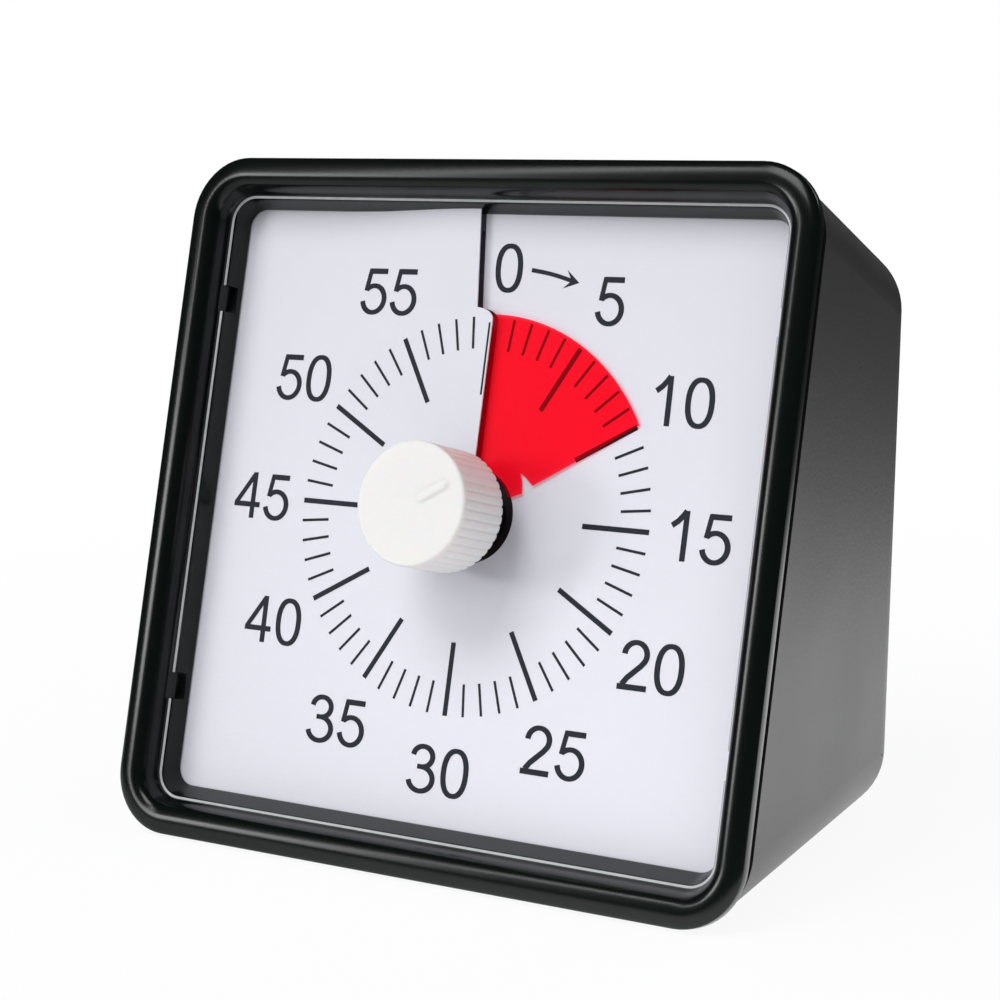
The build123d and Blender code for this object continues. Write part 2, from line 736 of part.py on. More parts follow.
pieces = {
    "front_bezel": front_bezel,
    "case_body": case_body,
    "dial_card": dial_card,
    "film_disc": film_disc,
    "dial_backing": dial_backing,
    "setting_knob": setting_knob,
    "film_hub": film_hub,
    "spindle": spindle,
    "spindle_bush": spindle_bush,
    "centre_wheel": centre_wheel,
    "alarm_cam": alarm_cam,
    "alarm_contact": alarm_contact,
    "clutch_washer": clutch_washer,
    "spindle_circlip": spindle_circlip,
    "third_wheel": third_wheel,
    "motor_pinion": motor_pinion,
    "drive_motor": drive_motor,
    "movement_cover": movement_cover,
    "movement_base": movement_base,
    "base_screws": base_screws,
    "movement_screws": movement_screws,
    "case_screws": case_screws,
    "circuit_board": circuit_board,
    "board_screws": board_screws,
    "controller_chip": controller_chip,
    "quartz_crystal": quartz_crystal,
    "buzzer": buzzer,
    "switch_housing": switch_housing,
    "sound_slider": sound_slider,
    "battery": battery,
    "contact_spring": contact_spring,
    "contact_plate": contact_plate,
    "battery_door": battery_door,
}

os.makedirs("parts", exist_ok=True)
for name, make in pieces.items():
    export_step(Pos(0, -middle, 0) * make(), f"parts/{name}.step")
print("dial centre", 0, round(-middle, 3), round(dial_height, 3))
print("film rise per turn", pitch)
print("third wheel", round(third_x, 4), round(third_y, 4), "motor", round(motor_x, 4), round(motor_y, 4))
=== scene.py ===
import json
from math import atan2, copysign, cos, exp, hypot, pi, radians, sin, sqrt

import bpy
from bpy.props import FloatProperty, FloatVectorProperty, IntProperty, PointerProperty
from mathutils import Matrix, Vector


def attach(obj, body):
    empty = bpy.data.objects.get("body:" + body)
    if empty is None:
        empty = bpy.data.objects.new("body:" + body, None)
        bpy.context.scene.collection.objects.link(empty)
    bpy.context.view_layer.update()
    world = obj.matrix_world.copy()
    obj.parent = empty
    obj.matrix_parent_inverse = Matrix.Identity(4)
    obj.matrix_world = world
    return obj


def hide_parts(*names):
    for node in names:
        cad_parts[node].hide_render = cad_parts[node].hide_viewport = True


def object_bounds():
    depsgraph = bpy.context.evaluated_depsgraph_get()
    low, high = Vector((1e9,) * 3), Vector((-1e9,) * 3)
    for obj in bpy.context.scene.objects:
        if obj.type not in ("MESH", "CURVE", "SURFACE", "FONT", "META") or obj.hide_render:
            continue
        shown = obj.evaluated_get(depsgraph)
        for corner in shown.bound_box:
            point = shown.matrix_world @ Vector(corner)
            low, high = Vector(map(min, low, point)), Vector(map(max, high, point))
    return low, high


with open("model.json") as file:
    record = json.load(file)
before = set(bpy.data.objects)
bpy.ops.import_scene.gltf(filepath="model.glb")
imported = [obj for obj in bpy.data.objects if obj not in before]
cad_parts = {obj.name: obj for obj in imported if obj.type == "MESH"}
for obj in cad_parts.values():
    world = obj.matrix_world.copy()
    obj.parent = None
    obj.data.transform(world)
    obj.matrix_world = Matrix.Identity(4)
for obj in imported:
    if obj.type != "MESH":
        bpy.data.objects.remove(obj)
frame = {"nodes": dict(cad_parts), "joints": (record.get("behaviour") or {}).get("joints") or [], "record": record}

bl_info = {
    "name": "Visual countdown timer",
    "version": (1, 0, 0),
    "blender": (4, 5, 0),
    "location": "3D View > Sidebar > Timer",
    "description": "Models the visible pieces of a desk timer round its fixed mechanical frame",
    "category": "Object",
}

cad_low, cad_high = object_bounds()
MM = 0.001

# The dial's own frame: origin at the dial centre, X across, Y up the dial, Z out of it.
knob_joint = next(joint for joint in frame["joints"] if joint["name"] == "knob_spin")
film_coupling = next(coupling for coupling in frame["record"]["behaviour"]["couplings"]
                     if coupling["joint"] == "film_lift")
OUTWARD = -Vector(knob_joint["axis"]).normalized()
ACROSS = Vector((1, 0, 0))
UP_DIAL = OUTWARD.cross(ACROSS)
DIAL = Matrix((ACROSS, UP_DIAL, OUTWARD)).transposed().to_4x4()
DIAL.translation = Vector(knob_joint["pos_m"])
PITCH = film_coupling["ratio"] * 2 * pi / MM        # rise of film and card in one turn, mm


def node_span(node, direction):
    """Lowest and highest reach of a frame node along a direction from the dial centre, in mm."""
    vertices = frame["nodes"][node].data.vertices
    reach = [(vertex.co - DIAL.translation).dot(direction) for vertex in vertices]
    return min(reach) / MM, max(reach) / MM


BEZEL_X = node_span("front_bezel", ACROSS)
BEZEL_Y = node_span("front_bezel", UP_DIAL)
BEZEL_WIDTH = BEZEL_X[1] - BEZEL_X[0]
BEZEL_HEIGHT = BEZEL_Y[1] - BEZEL_Y[0]
BEZEL_MIDDLE = (BEZEL_Y[0] + BEZEL_Y[1]) / 2         # its height up the dial
KNOB_X = node_span("setting_knob", ACROSS)
KNOB_Z = node_span("setting_knob", OUTWARD)
FILM_RIM = 1.018                                    # outer radius of the film, in ring radii
RING = node_span("film_disc", ACROSS)[1] / FILM_RIM  # outer radius of the minute marks, mm


# ---------------------------------------------------------------- sizes and colours

def length_property(name, description, default):
    return FloatProperty(name=name, description=description, default=default, min=0.0,
                         subtype="DISTANCE")


def ring_property(name, description, share):
    """A length whose default is a share of the ring's radius."""
    return length_property(name, description, share * RING * MM)


def angle_property(name, description, degrees):
    return FloatProperty(name=name, description=description, default=radians(degrees),
                         subtype="ANGLE")


def power_property(name, description, watts):
    return FloatProperty(name=name, description=description, default=watts, min=0.0, unit="POWER")


def colour_property(name, description, default):
    return FloatVectorProperty(name=name, description=description, default=default, size=3,
                               subtype="COLOR", min=0.0, max=1.0)


class TimerColours(bpy.types.PropertyGroup):
    """Base colours of the finishes"""
    gloss_black: colour_property("Bezel", "Polished bezel plastic", (0.0025, 0.0045, 0.0038))
    # The lip colour is a painted highlight, standing in for the lights' reflection on the lip's rounded edge.
    lip: colour_property("Lip", "Painted highlight on the bezel's lip", (0.5, 0.52, 0.52))
    satin_black: colour_property("Case", "Grained case plastic", (0.016, 0.016, 0.017))
    card: colour_property("Card", "Dial card", (0.76, 0.755, 0.82))
    ink: colour_property("Ink", "Printed marks and numbers", (0.011, 0.014, 0.024))
    film: colour_property("Film", "Red film disc", (1.0, 0.006, 0.022))
    knob: colour_property("Knob", "Setting knob plastic", (0.82, 0.815, 0.795))
    hub: colour_property("Hub", "Hub plastic behind the knob", (0.006, 0.006, 0.007))


class TimerSizes(bpy.types.PropertyGroup):
    """Sizes of the modelled details, in metres"""
    mark_width: ring_property("Long mark width", "Stroke of a five minute mark", 0.026)
    short_mark_width: ring_property("Short mark width", "Stroke of a minute mark", 0.0135)
    long_inner: ring_property("Long mark start", "Inner radius of a five minute mark", 0.6346)
    short_inner: ring_property("Short mark start", "Inner radius of a minute mark", 0.8385)
    number_height: ring_property("Number height", "Height of the printed numbers", 0.241)
    number_radius: ring_property("Number circle", "Radius of the circle of numbers", 1.275)
    knob_radius: length_property("Knob radius", "Outer radius of the setting knob", KNOB_X[1] * MM)
    flutes: IntProperty(name="Flutes", description="Grip flutes round the knob", default=42,
                        min=12, max=60)
    flute_depth: length_property("Flute depth", "Depth of a grip flute", 0.12 * MM)


class TimerStage(bpy.types.PropertyGroup):
    """Camera, floor and light"""
    camera_distance: length_property("Camera distance", "From the camera to its aim", 0.25622)
    camera_azimuth: angle_property("Azimuth", "Camera's turn round the timer, to its right", 31.246)
    camera_elevation: angle_property("Elevation", "Camera's height angle", 9.471)
    camera_roll: angle_property("Roll", "Camera's roll", -0.604)
    lens: FloatProperty(name="Lens", description="Focal length on a 36 mm sensor", default=87.95,
                        unit="CAMERA")
    room_light: FloatProperty(name="Room", description="Even light of the room", default=0.44,
                              min=0.0)
    gloss_light: FloatProperty(name="Room in gloss", default=0.045, min=0.0,
                               description="How bright glossy parts see the room")
    key_power: power_property("Key", "Power of the key light", 4.2)
    fill_power: power_property("Fill", "Power of the fill light", 1.5)
    strip_power: power_property("Strip", "Power of the tall strip light at the left", 1.6)
    back_power: power_property("Back", "Power of the back light", 1.1)


def colours():
    return bpy.context.scene.timer_colours


def sizes():
    return bpy.context.scene.timer_sizes


# ---------------------------------------------------------------- modelling helpers

SAME_PLACE = 1e-5        # vertices closer than this are one, mm


def deselect():
    if bpy.context.object and bpy.context.object.mode != "OBJECT":
        bpy.ops.object.mode_set(mode="OBJECT")
    bpy.ops.object.select_all(action="DESELECT")


def choose(piece):
    """Leaves only this piece selected, and makes it the active one."""
    deselect()
    piece.select_set(True)
    bpy.context.view_layer.objects.active = piece


def start(name):
    """Names the primitive just added."""
    piece = bpy.context.object
    piece.name = name
    piece.data.name = name
    return piece


def edit(kind="FACE"):
    bpy.ops.object.mode_set(mode="EDIT")
    bpy.ops.mesh.select_mode(type=kind)


def select(piece, kind, test):
    """In edit mode, selects the faces, edges or vertices that pass a test."""
    bpy.ops.mesh.select_mode(type=kind)
    bpy.ops.mesh.select_all(action="DESELECT")
    bpy.ops.object.mode_set(mode="OBJECT")
    mesh = piece.data
    items = {"FACE": mesh.polygons, "EDGE": mesh.edges, "VERT": mesh.vertices}[kind]
    for item in items:
        item.select = test(item)
    bpy.ops.object.mode_set(mode="EDIT")


def select_all_faces():
    bpy.ops.mesh.select_mode(type="FACE")
    bpy.ops.mesh.select_all(action="SELECT")


def finish_edit():
    """Leaves edit mode with every face turned outwards."""
    bpy.ops.mesh.select_all(action="SELECT")
    bpy.ops.mesh.normals_make_consistent(inside=False)
    bpy.ops.object.mode_set(mode="OBJECT")


def thicken(thickness):
    """Merges the doubles of the active flat sheet and raises it to a closed plate."""
    edit("VERT")
    bpy.ops.mesh.select_all(action="SELECT")
    bpy.ops.mesh.remove_doubles(threshold=SAME_PLACE)
    select_all_faces()
    bpy.ops.mesh.extrude_region_move(TRANSFORM_OT_translate={"value": (0, 0, thickness)})
    finish_edit()


def apply_modifier(piece, kind, **values):
    modifier = piece.modifiers.new(kind.lower(), kind)
    for key, value in values.items():
        setattr(modifier, key, value)
    choose(piece)
    bpy.ops.object.modifier_apply(modifier=modifier.name)


def combine(piece, other, operation):
    """Joins another solid to a piece or cuts it away, and removes it."""
    apply_modifier(piece, "BOOLEAN", object=other, operation=operation, solver="EXACT")
    bpy.data.objects.remove(other)


def join(parts, name):
    choose(parts[0])
    for part in parts:
        part.select_set(True)
    if len(parts) > 1:
        bpy.ops.object.join()
    return start(name)


def fix_place():
    """Moves the active piece's place, turn and scale into its mesh."""
    bpy.ops.object.transform_apply(location=True, rotation=True, scale=True)


def put_on_dial(piece):
    """Millimetres in the dial's frame become metres in the row frame, kept in the mesh."""
    piece.matrix_world = DIAL @ Matrix.Scale(MM, 4)
    choose(piece)
    fix_place()


def smooth(piece, degrees):
    """Smooth shading, with a crease wherever two faces meet at more than this angle."""
    choose(piece)
    bpy.ops.object.shade_smooth_by_angle(angle=radians(degrees))


def finish_piece(piece, body, slot, material, *nodes):
    """Gives a piece its material, the body it rides and the frame nodes it replaces; its slot is not used."""
    piece.data.materials.clear()
    piece.data.materials.append(material)
    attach(piece, body)
    if nodes:
        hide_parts(*nodes)


def box(name, low, high):
    """A box between two corners, as a cutter."""
    deselect()
    centre = [(a + b) / 2 for a, b in zip(low, high)]
    bpy.ops.mesh.primitive_cube_add(size=1, location=centre)
    piece = start(name)
    piece.scale = [b - a for a, b in zip(low, high)]
    fix_place()
    return piece


def cylinder(name, radius, low, high, vertices):
    """An upright cylinder on the dial's centre, as a cutter."""
    deselect()
    bpy.ops.mesh.primitive_cylinder_add(vertices=vertices, radius=radius, depth=high - low,
                                        location=(0, 0, (low + high) / 2))
    piece = start(name)
    fix_place()
    return piece


def grid(name, columns, rows):
    """A flat sheet of columns and rows of faces, one unit wide and high."""
    deselect()
    bpy.ops.mesh.primitive_grid_add(x_subdivisions=columns, y_subdivisions=rows, size=1,
                                    location=(0, 0, 0))
    return start(name)


def rounded_outline(name, width, height, radius, level, centre, segments=14):
    """One flat face with rounded corners, facing out of the dial, left in edit mode."""
    deselect()
    bpy.ops.mesh.primitive_plane_add(size=1, location=(0, 0, 0))
    piece = start(name)
    piece.scale = (width, height, 1)
    piece.location = (0, centre, level)
    fix_place()
    edit("VERT")
    bpy.ops.mesh.select_all(action="SELECT")
    bpy.ops.mesh.bevel(offset=radius, segments=segments, affect="VERTICES", profile=0.5)
    select_all_faces()
    return piece


# ---------------------------------------------------------------- materials

def new_group(name, inputs, outputs):
    group = bpy.data.node_groups.new(name, "ShaderNodeTree")
    for socket, kind, value in inputs:
        made = group.interface.new_socket(socket, in_out="INPUT", socket_type=kind)
        made.default_value = value
    for socket, kind in outputs:
        group.interface.new_socket(socket, in_out="OUTPUT", socket_type=kind)
    return group, group.nodes.new("NodeGroupInput"), group.nodes.new("NodeGroupOutput")


def link(tree, source, target):
    tree.links.new(source, target)


def math_node(tree, operation, a, b):
    node = tree.nodes.new("ShaderNodeMath")
    node.operation = operation
    for socket, value in zip(node.inputs, (a, b)):
        if isinstance(value, (int, float)):
            socket.default_value = value
        else:
            link(tree, value, socket)
    return node.outputs[0]


def surface_group():
    """Fine moulded grain with slow changes of gloss, as on moulded plastic or card."""
    found = bpy.data.node_groups.get("moulded_surface")
    if found:
        return found
    group, given, out = new_group(
        "moulded_surface",
        [("Grain scale", "NodeSocketFloat", 4000.0), ("Gloss scale", "NodeSocketFloat", 60.0),
         ("Roughness low", "NodeSocketFloat", 0.2), ("Roughness high", "NodeSocketFloat", 0.3),
         ("Colour", "NodeSocketColor", (0.5, 0.5, 0.5, 1)),
         ("Colour change", "NodeSocketFloat", 0.05)],
        [("Colour", "NodeSocketColor"), ("Roughness", "NodeSocketFloat"),
         ("Height", "NodeSocketFloat")])
    place = group.nodes.new("ShaderNodeTexCoord").outputs["Object"]
    grain = group.nodes.new("ShaderNodeTexNoise")
    grain.inputs["Detail"].default_value = 3.0
    link(group, place, grain.inputs["Vector"])
    link(group, given.outputs["Grain scale"], grain.inputs["Scale"])
    slow = group.nodes.new("ShaderNodeTexNoise")
    slow.inputs["Detail"].default_value = 4.0
    link(group, place, slow.inputs["Vector"])
    link(group, given.outputs["Gloss scale"], slow.inputs["Scale"])
    low, high = given.outputs["Roughness low"], given.outputs["Roughness high"]
    spread = math_node(group, "SUBTRACT", high, low)
    share = math_node(group, "MULTIPLY", slow.outputs["Fac"], spread)
    link(group, math_node(group, "ADD", share, low), out.inputs["Roughness"])
    tone = math_node(group, "SUBTRACT", grain.outputs["Fac"], 0.5)
    tone = math_node(group, "MULTIPLY", tone, given.outputs["Colour change"])
    tone = math_node(group, "ADD", tone, 1.0)
    tint = group.nodes.new("ShaderNodeVectorMath")
    tint.operation = "SCALE"
    link(group, given.outputs["Colour"], tint.inputs[0])
    link(group, tone, tint.inputs["Scale"])
    link(group, tint.outputs[0], out.inputs["Colour"])
    link(group, grain.outputs["Fac"], out.inputs["Height"])
    return group


def finish(name, colour, rough, grain_scale=4000.0, grain_depth=0.01, colour_change=0.05,
           gloss_scale=60.0, **sockets):
    """A Principled material with colour, roughness and bump from the moulded surface group."""
    material = bpy.data.materials.get(name)
    if material:
        return material
    material = bpy.data.materials.new(name)
    material.use_nodes = True
    tree = material.node_tree
    shader = tree.nodes["Principled BSDF"]
    group = tree.nodes.new("ShaderNodeGroup")
    group.node_tree = surface_group()
    group.inputs["Colour"].default_value = (*colour, 1)
    group.inputs["Roughness low"].default_value = rough[0]
    group.inputs["Roughness high"].default_value = rough[1]
    group.inputs["Grain scale"].default_value = grain_scale
    group.inputs["Gloss scale"].default_value = gloss_scale
    group.inputs["Colour change"].default_value = colour_change
    bump = tree.nodes.new("ShaderNodeBump")
    bump.inputs["Strength"].default_value = 1.0
    bump.inputs["Distance"].default_value = grain_depth * MM
    link(tree, group.outputs["Colour"], shader.inputs["Base Color"])
    link(tree, group.outputs["Roughness"], shader.inputs["Roughness"])
    link(tree, group.outputs["Height"], bump.inputs["Height"])
    link(tree, bump.outputs["Normal"], shader.inputs["Normal"])
    for socket, value in sockets.items():
        shader.inputs[socket.replace("_", " ")].default_value = value
    return material


def gloss_black():
    return finish("polished_black_plastic", colours().gloss_black, rough=(0.15, 0.22),
                  grain_scale=900.0, grain_depth=0.0012, colour_change=0.1, Specular_IOR_Level=0.28)


def lip_edge():
    """The top of the lip with a pale painted highlight: a thin pale line round the window that stands in for the
    lights' reflection on its rounded edge.
    """
    return finish("lip_painted_highlight", colours().lip, rough=(0.2, 0.3), grain_scale=900.0,
                  grain_depth=0.0012, colour_change=0.3)


def satin_black():
    return finish("grained_black_plastic", colours().satin_black, rough=(0.42, 0.5),
                  grain_scale=2600.0, grain_depth=0.02, colour_change=0.25)


def card_stock():
    return finish("printed_card", colours().card, rough=(0.5, 0.6), grain_scale=3500.0,
                  grain_depth=0.012, colour_change=0.03)


def ink():
    return finish("dark_ink", colours().ink, rough=(0.5, 0.6), grain_scale=3500.0,
                  grain_depth=0.008, colour_change=0.1, Specular_IOR_Level=0.25)


def knob_plastic():
    return finish("satin_white_plastic", colours().knob, rough=(0.4, 0.47), grain_scale=2500.0,
                  grain_depth=0.012, colour_change=0.02, Subsurface_Weight=0.4,
                  Subsurface_Scale=0.003)


def hub_plastic():
    return finish("hub_black_plastic", colours().hub, rough=(0.5, 0.6), grain_scale=3000.0,
                  grain_depth=0.01, colour_change=0.1)


def plain_metal(name, colour, rough):
    return finish(name, colour, rough, grain_scale=1500.0, grain_depth=0.004, Metallic=1.0)


FILM_TINT = (1.0, 0.29, 0.4, 1)      # what the film does to light that passes through it
FILM_CLEARNESS = 0.94                # share of the light that passes


def film_material():
    """Clear red film: light passes through it tinted red, with a soft sheen and a painted glow, an emission in its
    own red that makes it brighter than its light does.
    """
    tone = colours().film
    material = finish("clear_red_film", tone, rough=(0.2, 0.3), grain_scale=1200.0,
                      grain_depth=0.002, Specular_IOR_Level=0.25)
    tree = material.node_tree
    shader = tree.nodes["Principled BSDF"]
    # Painted glow: the film emits its own red, which brightens it beyond its lighting.
    shader.inputs["Emission Color"].default_value = (*tone, 1)
    shader.inputs["Emission Strength"].default_value = 1.0
    clear = tree.nodes.new("ShaderNodeBsdfTransparent")
    clear.inputs["Color"].default_value = FILM_TINT
    mix = tree.nodes.new("ShaderNodeMixShader")
    mix.inputs[0].default_value = FILM_CLEARNESS
    link(tree, shader.outputs[0], mix.inputs[1])
    link(tree, clear.outputs[0], mix.inputs[2])
    link(tree, mix.outputs[0], tree.nodes["Material Output"].inputs["Surface"])
    return material


# ---------------------------------------------------------------- the shape of the card

# Places on the card are in ring radii, and thicknesses and heights out of it in mm.
SLIT_FOOT = 0.1          # where the slit starts, inside the hub's hole
SLIT_SHUT = 0.006        # where the shut slit runs, up to the tab's rounded corner
SLIT_OPEN = -0.0925      # where the cut starts above the corner
SLIT_LEAN = -0.052       # how far it leans to the left for each ring radius of height
SLIT_WIDTH = 0.06        # mm
CORNER_FOOT = 0.985      # heights at which the tab's rounded corner starts and ends
CORNER_TOP = 1.045
CORNER_STEPS = 8
CARD_END = 1.75          # a height past the card's top edge
CARD_TRIM = 9.0          # how much narrower and shorter than the bezel the card is, mm
CARD_THICKNESS = 0.16
CARD_FACES = 120         # along each side
HUB_HOLE = 0.24
CURL_RISE = 0.8          # rise of the card's top edge beside the slit, mm
CURL_FOOT = 1.04         # height at which the curl starts, and how much further up it is full
CURL_RUN = 0.5
CURL_SPREAD = 0.6        # how far it reaches from the slit
FLAT_FROM = 1.06         # radius past which the climb fades, and how far out it takes
FLAT_RUN = 0.4


def slit_path():
    """The cut from the hub, round the tab's corner and up to the card's top edge, in mm."""
    points = [(SLIT_SHUT, SLIT_FOOT), (SLIT_SHUT, CORNER_FOOT)]
    for step in range(1, CORNER_STEPS + 1):
        angle = step * pi / (2 * CORNER_STEPS)
        points.append((SLIT_SHUT + (SLIT_OPEN - SLIT_SHUT) * (1 - cos(angle)),
                       CORNER_FOOT + (CORNER_TOP - CORNER_FOOT) * sin(angle)))
    points.append((SLIT_OPEN + SLIT_LEAN * (CARD_END - CORNER_TOP), CARD_END))
    return [(x * RING, y * RING) for x, y in points]


def slit_x(y):
    """Where the cut runs, across the dial, at a height up the dial."""
    share = y / RING
    if share <= CORNER_FOOT:
        return SLIT_SHUT * RING
    if share >= CORNER_TOP:
        return (SLIT_OPEN + SLIT_LEAN * (share - CORNER_TOP)) * RING
    climb = (share - CORNER_FOOT) / (CORNER_TOP - CORNER_FOOT)
    return (SLIT_SHUT + (SLIT_OPEN - SLIT_SHUT) * (1 - sqrt(1 - climb * climb))) * RING


def ease(value):
    """A smooth climb from 0 to 1."""
    value = min(max(value, 0.0), 1.0)
    return value * value * (3 - 2 * value)


def card_level(x, y):
    """Height of the card's face: it climbs clockwise by one film pitch, and curls out at the top
    of the slit."""
    turn = (atan2(x, y) / (2 * pi)) % 1.0
    beside = abs(x - slit_x(y)) / RING
    left = y > 0 and x < slit_x(y)
    if y > 0 and not left and turn > 0.5:
        turn -= 1.0
    if left and turn < 0.5:
        turn += 1.0
    near = exp(-(beside / CURL_SPREAD) ** 2) if y > 0 else 0.0
    fade = 1 - ease((hypot(x, y) / RING - FLAT_FROM) / FLAT_RUN) * (1 - near)
    curl = min(max((y / RING - CURL_FOOT) / CURL_RUN, 0.0), 1.0) * near
    return PITCH * (turn - 0.5) * fade + CURL_RISE * curl


def drape(piece, above=0.0):
    """Shapes a flat sheet to the card's face, or to lie above it."""
    for vertex in piece.data.vertices:
        vertex.co.z += card_level(vertex.co.x, vertex.co.y) + above


def mark_angle(minute):
    """Clockwise angle of a minute on the dial."""
    return 2 * pi * minute / 60


# ---------------------------------------------------------------- strokes and prints

PRINT_LIFT = 0.006       # of the ink's underside from the card, mm
INK = 0.022              # thickness of a printed stroke, mm


def ribbon(name, points, width, thickness=INK):
    """A flat stroke along a line of points; width is a number or a rule of the way it runs."""
    (first_x, first_y), (last_x, last_y) = points[0], points[-1]
    closed = hypot(first_x - last_x, first_y - last_y) < 1e-6
    last = len(points) - 1
    piece = grid(name, last, 1)
    for vertex in piece.data.vertices:
        step = round((vertex.co.x + 0.5) * last)
        before, after = step - 1, step + 1
        if closed:
            before, after = (before if step else last - 1), (after if step < last else 1)
        (x0, y0), (x1, y1) = points[max(before, 0)], points[min(after, last)]
        along = Vector((x1 - x0, y1 - y0)).normalized()
        wide = width(along) if callable(width) else width
        x, y = points[step]
        side = wide / 2 if vertex.co.y > 0 else -wide / 2
        vertex.co = (x - along.y * side, y + along.x * side, 0)
    thicken(thickness)
    return piece


def oval(centre, reach, first, last, steps=24, power=2.0):
    """Points along an oval between two angles, in degrees anticlockwise from the right."""
    points = []
    for step in range(steps + 1):
        angle = radians(first + (last - first) * step / steps)
        points.append(tuple(middle + half * copysign(abs(f) ** (2 / power), f)
                            for middle, half, f in zip(centre, reach, (cos(angle), sin(angle)))))
    return points


PEN_ACROSS = 0.101       # width of a curved stroke that runs across, in digit heights
PEN_SWELL = 0.025        # how much wider it is where it runs up the digit


def pen(along):
    """Width of a curved stroke, in digit heights, for the way it runs."""
    return PEN_ACROSS + PEN_SWELL * abs(along.y)

# Each digit's strokes, in digit heights from its lower left corner: its line and its width.
DIGITS = {
    "0": [(oval((0.387, 0.4935), (0.266, 0.46), 0, 360, 56, 2.3)[:-1] + [(0.653, 0.4935)], pen)],
    "1": [([(0.459, 0.0), (0.459, 1.004)], 0.123),
          ([(0.45, 1.0), (0.38, 0.9), (0.28, 0.79), (0.152, 0.694)], 0.118)],
    "2": [(oval((0.385, 0.71), (0.25, 0.243), 180, -30)
           + [(0.53, 0.5), (0.4, 0.38), (0.25, 0.245), (0.14, 0.1)], pen),
          ([(0.042, 0.059), (0.703, 0.059)], 0.118)],
    "3": [(oval((0.365, 0.745), (0.235, 0.21), 175, -90) + [(0.25, 0.535)], pen),
          (oval((0.36, 0.285), (0.29, 0.25), 90, -170), pen)],
    "4": [([(0.513, 0.0), (0.513, 1.0)], 0.122), ([(0.018, 0.296), (0.709, 0.296)], 0.113),
          ([(0.075, 0.33), (0.5, 0.96)], 0.108)],
    "5": [([(0.22, 0.928), (0.674, 0.928)], 0.117), ([(0.243, 0.975), (0.16, 0.5)], 0.108),
          (oval((0.375, 0.323), (0.281, 0.29), 135, -170), pen)],
}
DIGIT_ADVANCE = 0.777    # from one digit's left side to the next one's, in digit heights


def digit(figure, height):
    """One digit as a single closed plate of ink."""
    parts = []
    for points, width in DIGITS[figure]:
        line = [(x * height, y * height) for x, y in points]
        if callable(width):
            parts.append(ribbon("digit_stroke", line, lambda along: width(along) * height))
        else:
            parts.append(ribbon("digit_stroke", line, width * height))
    piece = parts[0]
    for extra in parts[1:]:
        combine(piece, extra, "UNION")
    piece.name = "digit_" + figure
    return piece


def copy_of(piece, move):
    """A copy with its own mesh, moved by a matrix."""
    twin = piece.copy()
    twin.data = piece.data.copy()
    twin.data.transform(move)
    bpy.context.scene.collection.objects.link(twin)
    return twin


def print_on_card(parts, name):
    """Makes one print of flat pieces of ink and lays it on the card."""
    piece = join(parts, name)
    drape(piece, PRINT_LIFT)
    put_on_dial(piece)
    finish_piece(piece, "stand", "dial_print", ink())


# ---------------------------------------------------------------- operators

# The bezel, in mm. Levels are from the dial's centre, and insets from the bezel's outline.
CORNER_RADIUS = 6.8
WALL_HEAD = (4.3, 2.1)               # inset and level where the lip ends and the wall begins
# Insets and levels up the side, over the rounded face, over the lip and down the drafted wall.
BEZEL_STEPS = [(0.0, 3.6), (0.0, 4.72), (0.28, 4.95), (0.8, 5.12), (1.4, 5.2), (2.0, 5.2),
               (2.5, 5.08), (2.9, 4.82), (3.15, 4.42), (3.35, 3.95), (3.5, 3.5), (3.66, 3.1),
               (3.82, 2.9), (3.86, 2.62), (4.08, 2.6), (4.22, 2.42), WALL_HEAD, (4.68, 0.45),
               (4.74, 0.15)]
SKIRT_STEPS = [(0.9, 0.0), (0.0, 1.3), (1.7, 0.0), (0.0, 2.1)]   # in and down, below the outline
LIP_LEVELS = (2.5, 2.66)             # between which the top of the lip lies
FOOT_BELOW = 0.5                     # level under which the wall's foot lies
FOOT_SHIFTS = [(-1, 0.65), (1, -0.22)]       # of the foot up the dial, at the lower and upper edge
NOTCH_MIDDLES = (-1.04, 1.02)        # of the release notches up the dial, in ring radii
NOTCH_HALF = 1.45                    # half a notch's length
NOTCH_INWARD = 0.9                   # how far it reaches from the wall's head to either side
NOTCH_OUTWARD = 0.62
NOTCH_LEVELS = (0.9, 4.2)
EDGE_BEVEL = 0.09


